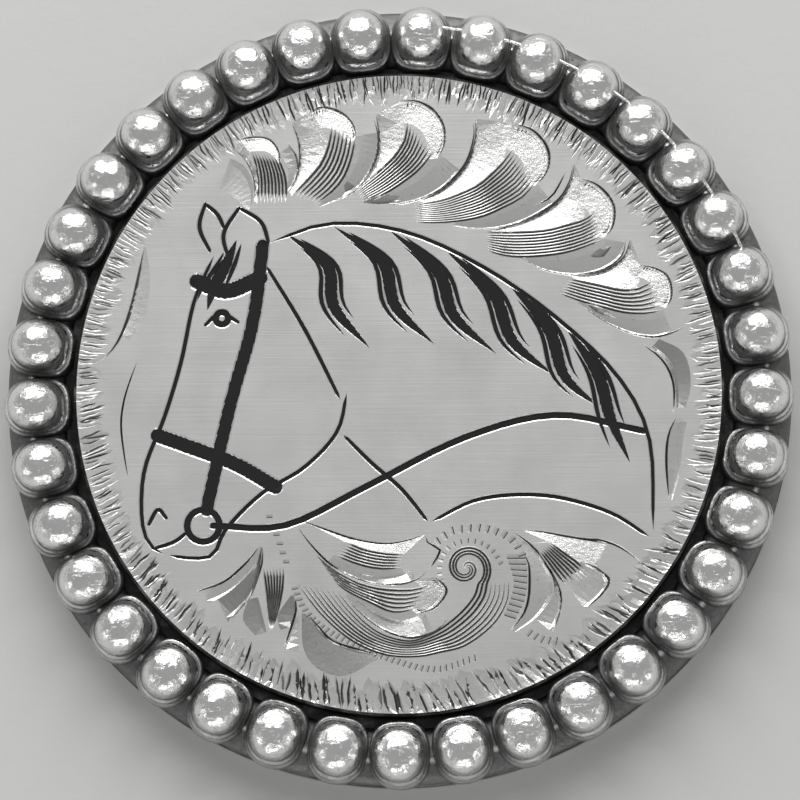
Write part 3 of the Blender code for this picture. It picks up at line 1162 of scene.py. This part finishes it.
    def notch(self, angle: float, sector: BorderSector, dice: random.Random, fine: bool) -> None:
        """Cuts one notch of the border.

        Args:
            angle: Where it is, in degrees from +X, counterclockwise.
            sector: How the border is cut there.
            dice: Source of the small differences between notches.
            fine: Whether it is a thin stroke and not a broad, shallow facet.
        """
        outer = FACE_RADIUS + self.notch_overhang - sector.inset * dice.uniform(*self.notch_inset)
        inner = outer - sector.length * dice.uniform(*self.notch_length)
        lean = sector.lean * dice.uniform(0.5, 1.5)
        lean += dice.uniform(-self.notch_turn, self.notch_turn)
        out = polar(math.radians(angle))
        side = Vector((-out.y, out.x))
        low = out * inner
        high = out * outer + side * (outer - inner) * math.tan(math.radians(lean))
        middle = [low.lerp(high, i / 4) for i in range(5)]
        middle[2] = middle[2] + side * dice.uniform(-self.notch_bow, self.notch_bow)
        if fine:
            width = dice.uniform(0.08, 0.15) * sector.pitch
            deepest = (dice.uniform(-0.6, 0.6), sector.depth * dice.uniform(0.5, 1.5))
        else:
            width = sector.pitch * FACE_RADIUS * math.pi / 180 * dice.uniform(1.2, 2.2)
            deepest = (dice.uniform(-0.9, 0.9), sector.slant * dice.uniform(0.3, 1.2))
        zone = Zone.NOTCH if fine else Zone.BRIGHT
        self.engraving.stroke(middle, width, ((-1, 0), deepest, (1, 0)), zone, fullness=0.15)

    def engrave_border(self) -> None:
        """Cuts the ring of notches that runs round the face's edge."""
        dice = random.Random(self.seed)
        for fine, stride in ((False, 0.8), (True, 0.6)):
            angle = 0.0
            while angle < 360:
                sector = BORDER[int(angle * len(BORDER) // 360)]
                self.notch(angle, sector, dice, fine)
                angle += sector.pitch * stride * dice.uniform(0.5, 1.5)

    def engrave_emblem(self) -> None:
        """Cuts and fills the horse's head with its mane, headstall and rein."""
        for line in HEAD_LINES:
            self.fill_line(smooth(line, stations=26), self.line_width, fullness=0.12)
        for strap, share in HEAD_STRAPS:
            self.fill_line(smooth(strap, stations=26), self.strap_width * share)
        for lock in MANE_LOCKS:
            path = smooth(lock, self.lock_stations)
            self.fill_line(path, self.strap_width * 0.8, fullness=0.9)
            for side, start, end in self.strands:
                strand = []
                for i, p in enumerate(path):
                    spread = 0.35 + 0.5 * i / (self.lock_stations - 1)
                    strand.append(Vector((p.x + side * self.strap_width * spread, p.y)))
                strand = shared_out(strand[start:end], 14)
                self.fill_line(strand, self.line_width * 1.1, fullness=0.7)
        for spot, size in HEAD_SPOTS:
            centre = Vector(spot) * DRAWING_UNIT
            ring = [centre + polar(math.tau * i / 24, size) for i in range(25)]
            self.fill_line(ring, self.line_width * 1.6)

    def fill_line(self, middle: Sequence[Vector], width: float, fullness: float = 0) -> None:
        """Cuts a line, its edges bright, and fills it with black.

        Args:
            middle: The line's middle, in millimetres.
            width: Its width.
            fullness: How slowly it gets narrower towards its ends; 0 keeps its width.
        """
        burr = width + 2 * self.burr_width
        inside = 1 - 2 * self.burr_width / burr
        edge = ((-1, 0), (-inside, self.line_burr), (inside, self.line_burr), (1, 0))
        self.engraving.stroke(middle, burr, edge, Zone.BRIGHT, fullness)
        self.engraving.stroke(middle, width, FILLED, Zone.FILL, fullness)

    def build(self) -> bpy.types.Object:
        """Builds and dresses the plate.

        Returns:
            The finished piece.
        """
        self.engrave_border()
        for leaf in LEAVES:
            self.engrave_leaf(leaf)
        for facet in FACETS:
            profile = ((0, 0), (facet.deepest, facet.depth), (1, 0))
            self.engraving.swath(*paired(facet.near, facet.far), profile, facet.zone)
        for stroke in STROKES:
            path = smooth(stroke.path, stations_for(stroke.path, self.stroke_step))
            width = stroke.width * self.stroke_weight
            self.engraving.stroke(path, width, DEEP_CUT, Zone.LINER)
        self.engrave_scroll()
        self.engrave_emblem()

        top_radius = FACE_RADIUS - self.edge_bevel
        turns = (math.tau * i / self.segments for i in range(self.segments))
        outline = [polar(turn, top_radius) for turn in turns]
        return self.assemble(*self.engraving.surface(outline), top_radius)

    def assemble(
        self,
        points: Sequence[Vector],
        triangles: Sequence[tuple[Sequence[int], Zone]],
        top_radius: float,
    ) -> bpy.types.Object:
        """Joins the carved face to the plate's sides and back.

        Args:
            points: The carved face's points.
            triangles: Its triangles, each with its finish.
            top_radius: Radius of the carved face.

        Returns:
            The finished piece.
        """
        mesh = bmesh.new()
        tall = Vector((0, 0, FACE_HEIGHT))
        made = [mesh.verts.new(point + tall) for point in points]
        for corners, zone in triangles:
            if max(points[i].to_2d().length for i in corners) <= top_radius + self.rim_tolerance:
                mesh.faces.new([made[i] for i in corners]).material_index = zone.value
        bmesh.ops.delete(mesh, geom=[v for v in mesh.verts if not v.link_faces], context="VERTS")
        bmesh.ops.dissolve_degenerate(mesh, dist=self.sliver_length, edges=mesh.edges)
        edge_radius = CONCHO_RADIUS - self.flange_setback
        hollow_radius = edge_radius - self.rim_seat_width
        ceiling = FACE_HEIGHT - self.sheet_thickness
        profile = (
            (FACE_RADIUS, FACE_HEIGHT - self.edge_bevel),
            (FACE_RADIUS, FLANGE_THICKNESS),
            (edge_radius - self.edge_bevel, FLANGE_THICKNESS),
            (edge_radius, FLANGE_THICKNESS - self.edge_bevel),
            (edge_radius, self.back_bevel),
            (edge_radius - self.back_bevel, 0),
            (hollow_radius, 0),
            (hollow_radius - self.hollow_draft, ceiling),
            (self.boss_radius, ceiling),
            (self.boss_radius, self.back_bevel),
            (self.boss_radius - self.back_bevel, 0),
            (self.bore_radius, 0),
            (self.bore_radius, FACE_HEIGHT - self.bore_floor),
        )
        loop = [e for e in mesh.edges if e.is_boundary]
        for radius, height in profile:
            grown = bmesh.ops.extrude_edge_only(mesh, edges=loop)["geom"]
            for vert in (g for g in grown if isinstance(g, bmesh.types.BMVert)):
                flat = vert.co.to_2d().normalized() * radius
                level = height
                # At the face's side the bevel stays below the notches that run out over it.
                if radius == FACE_RADIUS:
                    level = min(height, vert.co.z - self.rim_bevel_drop)
                vert.co = Vector((flat.x, flat.y, level))
            loop = [g for g in grown if isinstance(g, bmesh.types.BMEdge)]
            for face in (g for g in grown if isinstance(g, bmesh.types.BMFace)):
                face.material_index = Zone.AGED.value
        bmesh.ops.contextual_create(mesh, geom=loop, mat_nr=Zone.AGED.value)
        bmesh.ops.recalc_face_normals(mesh, faces=mesh.faces)
        finishes = {
            Zone.SATIN: SatinSilver(),
            Zone.BRIGHT: BrightCut(),
            Zone.SPECKLED: BrightCut("speckled_cut", roughness=0.26, chatter=0.04, darkness=0.5),
            Zone.LINER: BrightCut(
                "liner_cut", roughness=0.28, darkness=0.4, painted_shade_depths=(0.015, 0.07), painted_shade_tone=0.22
            ),
            Zone.NOTCH: BrightCut(
                "notch_cut",
                (0.74, 0.74, 0.73),
                roughness=0.38,
                darkness=0.4,
                painted_shade_depths=(0.004, 0.045),
                painted_shade_tone=0.14,
            ),
            # Painted shade: a darker copy of the bright cut, for facets that lie in shade.
            Zone.SHADED: BrightCut("shaded_cut", (0.52, 0.52, 0.51), roughness=0.25),
            Zone.FILL: BlackFill(),
            Zone.AGED: AgedAndShadedSilver(),
        }
        piece = to_object("engraved_face", mesh)
        for zone in Zone:
            piece.data.materials.append(finishes[zone].material())
        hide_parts("engraved_plate")
        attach(piece, "root")
        return piece


def linked(name: str, data: bpy.types.ID) -> bpy.types.Object:
    """A new object of the scene, with the given data."""
    made = bpy.data.objects.new(name, data)
    bpy.context.scene.collection.objects.link(made)
    return made


def to_object(name: str, mesh: bmesh.types.BMesh) -> bpy.types.Object:
    """Turns a mesh in millimetres into an object of the scene.

    Args:
        name: The object's name.
        mesh: The mesh, which is used up.

    Returns:
        The object.
    """
    bmesh.ops.scale(mesh, vec=(MM, MM, MM), verts=mesh.verts)
    data = bpy.data.meshes.new(name)
    mesh.to_mesh(data)
    mesh.free()
    return linked(name, data)


# The kinds of the node tree's inputs, by the types of their values.
SOCKET_KINDS = {
    int: "NodeSocketInt",
    float: "NodeSocketFloat",
    bpy.types.Material: "NodeSocketMaterial",
}


@dataclass
class BeadRim:
    """The ring of gumdrop-shaped beads on their web, in millimetres."""

    foot_height: float = 1.0
    # Half widths along the rim, towards its middle and away from it; heights at the inner
    # and outer sides; how far the place lies in shade.
    profile: Sequence[tuple[float, float, float, float, float, float]] = (
        (1.47, 1.70, 1.57, 0.0, 0.0, 1.0),
        (1.48, 1.72, 1.58, 0.3, 0.3, 1.0),
        (1.47, 1.71, 1.58, 0.85, 0.6, 0.85),
        (1.44, 1.67, 1.57, 1.08, 0.75, 0.55),
        (1.39, 1.60, 1.55, 1.18, 0.9, 0.5),
        (1.34, 1.53, 1.53, 1.2, 1.02, 0.65),
        (1.31, 1.48, 1.50, 1.18, 1.12, 0.95),
        (1.29, 1.43, 1.47, 1.28, 1.22, 0.45),
        (1.265, 1.36, 1.43, 1.36, 1.32, 0.3),
        (1.24, 1.29, 1.38, 1.42, 1.42, 0.5),
        (1.22, 1.24, 1.33, 1.5, 1.54, 1.15),
    )
    squareness: float = 0.32
    outer_roundness: float = 0.7
    flank_shade: float = 0.6
    flank_reach: float = 50.0
    side_shade: float = 0.45
    outer_light: float = 0.35
    ball_radius: float = 1.225
    ball_inner: float = 1.22
    ball_outer: float = 1.31
    ball_height: float = 1.66
    crown_step: float = 12.0
    crown_rings: int = 7
    sides: int = 32
    size_jitter: float = 0.02
    turn_jitter: float = 0.05
    dent: float = 0.05
    dents_per_metre: float = 900.0
    web_width: float = 2.75
    web_height: float = 0.8
    web_steps: int = 16
    web_sides: int = 32
    web_sag: float = 0.2
    web_shade: float = 1.25
    seam_height: float = 0.06
    seam_sharpness: float = 60.0
    crest_place: float = 0.1
    crest_width: float = 0.06
    crest_light: float = 1.1
    edge_light: float = 0.25
    edge_zone: tuple[float, float] = (0.2, 0.45)
    links: int = 7
    link_shift: float = 0.38
    link_height: float = 2.1
    link_width: float = 0.17
    link_sides: int = 8
    seed: int = 11

    def bead(self) -> bpy.types.Object:
        """One bead at the origin, with the shade on it marked from 0 on top to its foot."""
        mesh = bmesh.new()
        layer = mesh.verts.layers.float.new(PAINTED_SHADE)
        levels = list(self.profile)
        for lift in (math.radians(self.crown_step * i) for i in range(self.crown_rings)):
            share = math.cos(lift)
            sizes = (size * share for size in (self.ball_radius, self.ball_inner, self.ball_outer))
            height = self.ball_height + self.ball_radius * math.sin(lift)
            # Painted shade on the ball's lower flanks.
            shade = self.flank_shade * max(1 - lift / math.radians(self.flank_reach), 0)
            levels.append((*sizes, height, height, shade))
        rings = []
        for along, inwards, outwards, inner_height, outer_height, shade in levels:
            ring = []
            in_collar = inner_height < self.ball_height
            squareness = self.squareness * min(shade * 2, 1) if in_collar else 0
            for i in range(self.sides):
                angle = math.tau * i / self.sides
                x, y = math.cos(angle), math.sin(angle)
                outer = 0.5 + 0.5 * x
                power = 1 - squareness * (1 - self.outer_roundness * outer)
                x, y = (math.copysign(abs(v) ** power, v) for v in (x, y))
                height = inner_height + (outer_height - inner_height) * outer
                vert = mesh.verts.new((x * (outwards if x > 0 else inwards), y * along, height))
                # Painted shade: darker at the sides between beads, lighter on the outer side.
                light = self.outer_light * max(x, 0)
                vert[layer] = shade * (1 + self.side_shade * (1 - x * x) - light)
                ring.append(vert)
            rings.append(ring)
        for low, high in zip(rings, rings[1:]):
            for i in range(self.sides):
                j = (i + 1) % self.sides
                mesh.faces.new((low[i], low[j], high[j], high[i]))
        mesh.faces.new(list(reversed(rings[0])))
        top = mesh.verts.new((0, 0, self.ball_height + self.ball_radius))
        for i in range(self.sides):
            mesh.faces.new((rings[-1][i], rings[-1][(i + 1) % self.sides], top))
        for face in mesh.faces:
            face.smooth = True
        return to_object("beads", mesh)

    def placed(self, graph: NodeGraph, given: Mapping[str, Value]) -> Value:
        """Sets the beads on their circle.

        Args:
            graph: The nodes of the ring.
            given: The ring's inputs.

        Returns:
            The beads, as instances.
        """
        count, radius = given["Count"], given["Circle Radius"]
        circle = graph.node("GeometryNodeMeshCircle", {"Vertices": count, "Radius": radius})
        index = graph.node("GeometryNodeInputIndex")
        even = index * math.tau / count
        turn = even + given["Stray"] * (even + given["Stray Phase"]).cosine()
        x, y = ((turn - quarter).cosine() * radius for quarter in (0, math.pi / 2))
        spots = {"Geometry": circle, "Position": graph.vector(x, y)}
        most = given["Turn Jitter"]
        lean, size = (
            graph.node(
                "FunctionNodeRandomValue",
                {2: low, 3: high, "ID": index, "Seed": given["Seed"]},
                output=1,
                data_type="FLOAT",
            )
            for low, high in ((most * -1, most), (1 - given["Size Jitter"], 1.0))
        )
        beads = {
            "Points": graph.node("GeometryNodeSetPosition", spots),
            "Instance": given["Bead"],
            "Rotation": graph.vector(lean, lean * 0.5, turn + lean * 0.5),
            "Scale": size,
        }
        return graph.node("GeometryNodeInstanceOnPoints", beads)

    @staticmethod
    def circle(graph: NodeGraph, steps: Any, radius: Any) -> Value:
        """A round curve with a number of steps and a radius."""
        sockets = {"Resolution": steps, "Radius": radius}
        return graph.node("GeometryNodeCurvePrimitiveCircle", sockets, mode="RADIUS")

    def web(self, graph: NodeGraph, given: Mapping[str, Value]) -> Value:
        """Sweeps the web under the beads, lower between them and with a crest round it.

        Args:
            graph: The nodes of the ring.
            given: The ring's inputs.

        Returns:
            The web.
        """
        path = self.circle(graph, given["Web Steps"], given["Circle Radius"])
        disc = self.circle(graph, self.web_sides, 0.5)
        size = graph.vector(given["Web Width"], given["Web Height"] * 2, 1)
        section = graph.node("GeometryNodeTransform", {"Geometry": disc, "Scale": size})
        web = graph.node("GeometryNodeCurveToMesh", {"Curve": path, "Profile Curve": section})
        x = graph.node("ShaderNodeSeparateXYZ", {0: graph.node("GeometryNodeInputPosition")})
        y, z = graph.also(x, 1), graph.also(x, 2)
        angle = graph.node("ShaderNodeMath", {0: y, 1: x}, operation="ARCTAN2")
        even = angle - given["Stray"] * (angle + given["Stray Phase"]).cosine()
        between = 0.5 - 0.5 * (even * given["Count"]).cosine()
        outwards = ((x * x + y * y) ** 0.5 - given["Circle Radius"]) / given["Web Width"]
        off_crest = outwards - self.crest_place
        crest = (1 - (off_crest * off_crest) ** 0.5 / self.crest_width).at_least(0)
        seam = given["Seam Height"] * (between**self.seam_sharpness + crest * 2)
        lifted = z.at_least(0) * (1 - self.web_sag * between + seam)
        raised = {"Geometry": web, "Position": graph.vector(x, y, lifted)}
        # Painted shade on the web, lifted by painted highlights along its crest and its outer edge.
        edge = outwards.ramp(*self.edge_zone)
        marked = {
            "Geometry": graph.node("GeometryNodeSetPosition", raised),
            "Name": PAINTED_SHADE,
            "Value": self.web_shade - crest * self.crest_light - edge * self.edge_light,
        }
        kind = "GeometryNodeStoreNamedAttribute"
        return graph.node(kind, marked, data_type="FLOAT", domain="POINT")

    def link(self, graph: NodeGraph, given: Mapping[str, Value]) -> Value:
        """Sweeps the thin rod that joins some beads.

        Args:
            graph: The nodes of the ring.
            given: The ring's inputs.

        Returns:
            The rod.
        """
        course = {
            "Resolution": given["Web Steps"],
            "Radius": given["Link Radius"],
            "Start Angle": given["Link Start"],
            "Sweep Angle": given["Link Start"] * -1,
        }
        swept = {
            "Curve": graph.node("GeometryNodeCurveArc", course, mode="RADIUS"),
            "Profile Curve": self.circle(graph, self.link_sides, given["Link Width"] / 2),
            "Fill Caps": True,
        }
        rod = graph.node("GeometryNodeCurveToMesh", swept)
        lift = graph.vector(z=given["Link Height"])
        return graph.node("GeometryNodeTransform", {"Geometry": rod, "Translation": lift})

    def tree(self, inputs: Mapping[str, Any]) -> bpy.types.NodeTree:
        """The node tree that makes the ring from one bead.

        Args:
            inputs: The tree's inputs by name, with the values that they get.

        Returns:
            The tree.
        """
        tree = bpy.data.node_groups.new("ring_of_beads", "GeometryNodeTree")
        tree.interface.new_socket("Geometry", in_out="OUTPUT", socket_type="NodeSocketGeometry")
        tree.interface.new_socket("Bead", in_out="INPUT", socket_type="NodeSocketGeometry")
        for name, value in inputs.items():
            tree.interface.new_socket(name, in_out="INPUT", socket_type=SOCKET_KINDS[type(value)])
        graph = NodeGraph(tree)
        given = {"Bead": graph.node("NodeGroupInput", output="Bead")}
        for name in inputs:
            given[name] = graph.also(given["Bead"], name)
        joined = graph.node("GeometryNodeJoinGeometry")
        for part in (self.web, self.placed, self.link):
            tree.links.new(part(graph, given).socket, joined.socket.node.inputs[0])
        placing = {
            "Geometry": joined,
            "Rotation": graph.vector(z=given["First Angle"]),
            "Translation": graph.vector(z=given["Foot Height"]),
        }
        spun = graph.node("GeometryNodeTransform", placing)
        real = graph.node("GeometryNodeRealizeInstances", {0: spun})
        place = graph.node("GeometryNodeInputPosition")
        wobble = graph.noise(place, self.dents_per_metre, 3, 0.6) - 0.5
        push = graph.times(graph.node("GeometryNodeInputNormal"), wobble * given["Dent"])
        dented = graph.node("GeometryNodeSetPosition", {"Geometry": real, "Offset": push})
        shaded = graph.node("GeometryNodeSetShadeSmooth", {"Geometry": dented})
        coating = {"Geometry": shaded, "Material": given["Finish"]}
        coated = graph.node("GeometryNodeSetMaterial", coating)
        tree.links.new(coated.socket, tree.nodes.new("NodeGroupOutput").inputs[0])
        return tree

    def build(self) -> bpy.types.Object:
        """Builds and dresses the ring.

        Returns:
            The finished piece.
        """
        source = self.bead()
        modifier = source.modifiers.new("ring", "NODES")
        inputs = {
            "Count": BEAD_COUNT,
            "Circle Radius": BEAD_CIRCLE * MM,
            "First Angle": math.radians(FIRST_BEAD_ANGLE),
            "Stray": math.radians(BEAD_STRAY),
            "Stray Phase": math.radians(FIRST_BEAD_ANGLE - BEAD_STRAY_ANGLE),
            "Foot Height": self.foot_height * MM,
            "Size Jitter": self.size_jitter,
            "Turn Jitter": self.turn_jitter,
            "Dent": self.dent * MM,
            "Web Width": self.web_width * MM,
            "Web Height": self.web_height * MM,
            "Seam Height": self.seam_height,
            "Web Steps": BEAD_COUNT * self.web_steps,
            "Link Radius": (BEAD_CIRCLE + self.link_shift) * MM,
            "Link Start": -math.tau * self.links / BEAD_COUNT,
            "Link Width": self.link_width * MM,
            "Link Height": self.link_height * MM,
            "Seed": self.seed,
            "Finish": BeadSilver().material(),
        }
        modifier.node_group = self.tree(inputs)
        for item in modifier.node_group.interface.items_tree:
            if item.name in inputs:
                modifier[item.identifier] = inputs[item.name]
        bpy.context.view_layer.update()
        graph = bpy.context.evaluated_depsgraph_get()
        data = bpy.data.meshes.new_from_object(source.evaluated_get(graph), depsgraph=graph)
        bpy.data.objects.remove(source, do_unlink=True)
        data.name = "bead_ring"
        piece = linked("bead_ring", data)
        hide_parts("beaded_rim")
        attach(piece, "root")
        return piece


@dataclass
class Studio:
    """Pale floor, soft lights and the camera."""

    frame_width: float = 38.58
    lens: float = 400.0
    sensor: float = 36.0
    clip: tuple[float, float] = (10, 3000)
    tilt: float = 9.0
    tilt_direction: tuple[float, float] = (0.157, -0.988)
    aim: Point3 = (0.03, -0.17, 1.28)
    floor_size: float = 600.0
    floor_drop: float = 0.02
    world_tone: float = 0.34
    main_size: tuple[float, float] = (380, 220)
    main_place: Point3 = (-20, 250, 185)
    main_power: float = 1.0
    low_power: float = 9e-6
    low_lights: Sequence[tuple[Point3, float]] = (
        ((-70, -255, 55), 75),
        ((60, -255, 80), 85),
        ((-240, -110, 70), 55),
        ((240, -120, 60), 55),
    )

    def light(self, name: str, size: tuple[float, float], place: Point3, power: float) -> None:
        """Adds a soft light that faces the object.

        Args:
            name: The light's name.
            size: Its width and height in millimetres.
            place: Where it is, in millimetres.
            power: Its power in watts.
        """
        data = bpy.data.lights.new(name, "AREA")
        data.shape = "RECTANGLE"
        data.size, data.size_y = size[0] * MM, size[1] * MM
        data.energy = power
        lamp = linked(name, data)
        lamp.location = Vector(place) * MM
        lamp.rotation_euler = (-Vector(place)).to_track_quat("-Z", "Y").to_euler()
        lamp.visible_camera = False

    def build(self) -> None:
        """Sets up floor, lights, world and camera."""
        scene = bpy.context.scene
        mesh = bmesh.new()
        half = self.floor_size / 2
        corners = ((-half, -half), (half, -half), (half, half), (-half, half))
        mesh.faces.new([mesh.verts.new((*corner, -self.floor_drop)) for corner in corners])
        floor = to_object("floor", mesh)
        floor.data.materials.append(StudioFloor().material())

        self.light("main_light", self.main_size, self.main_place, self.main_power)
        for i, (place, size) in enumerate(self.low_lights):
            self.light(f"low_light_{i}", (size, size), place, self.low_power * size**2)

        world = bpy.data.worlds.new("studio")
        world.use_nodes = True
        background = world.node_tree.nodes["Background"]
        background.inputs["Color"].default_value = (*[self.world_tone] * 3, 1)
        scene.world = world
        scene.view_settings.view_transform = "Standard"

        data = bpy.data.cameras.new("camera")
        data.lens, data.sensor_width = self.lens, self.sensor
        distance = self.lens / self.sensor * self.frame_width
        data.clip_start, data.clip_end = (distance * MM for distance in self.clip)
        camera = linked("camera", data)
        lean = math.radians(self.tilt)
        side = Vector((*self.tilt_direction, 0)).normalized() * math.sin(lean)
        back = side + Vector((0, 0, math.cos(lean)))
        right = Vector((0, 1, 0)).cross(back).normalized()
        turn = Matrix((right, back.cross(right), back)).transposed().to_4x4()
        camera.matrix_world = Matrix.Translation((Vector(self.aim) + back * distance) * MM) @ turn
        scene.camera = camera


def main() -> None:
    """Builds the scene and reports each piece."""
    logging.basicConfig(level=logging.INFO, format="%(name)s: %(message)s")
    for sub_assembly in (EngravedPlate(), BeadRim()):
        piece = sub_assembly.build()
        count = sum(len(face.vertices) - 2 for face in piece.data.polygons)
        LOG.info("%s: %d triangles", piece.name, count)
    Studio().build()


if __name__ == "__main__":
    main()
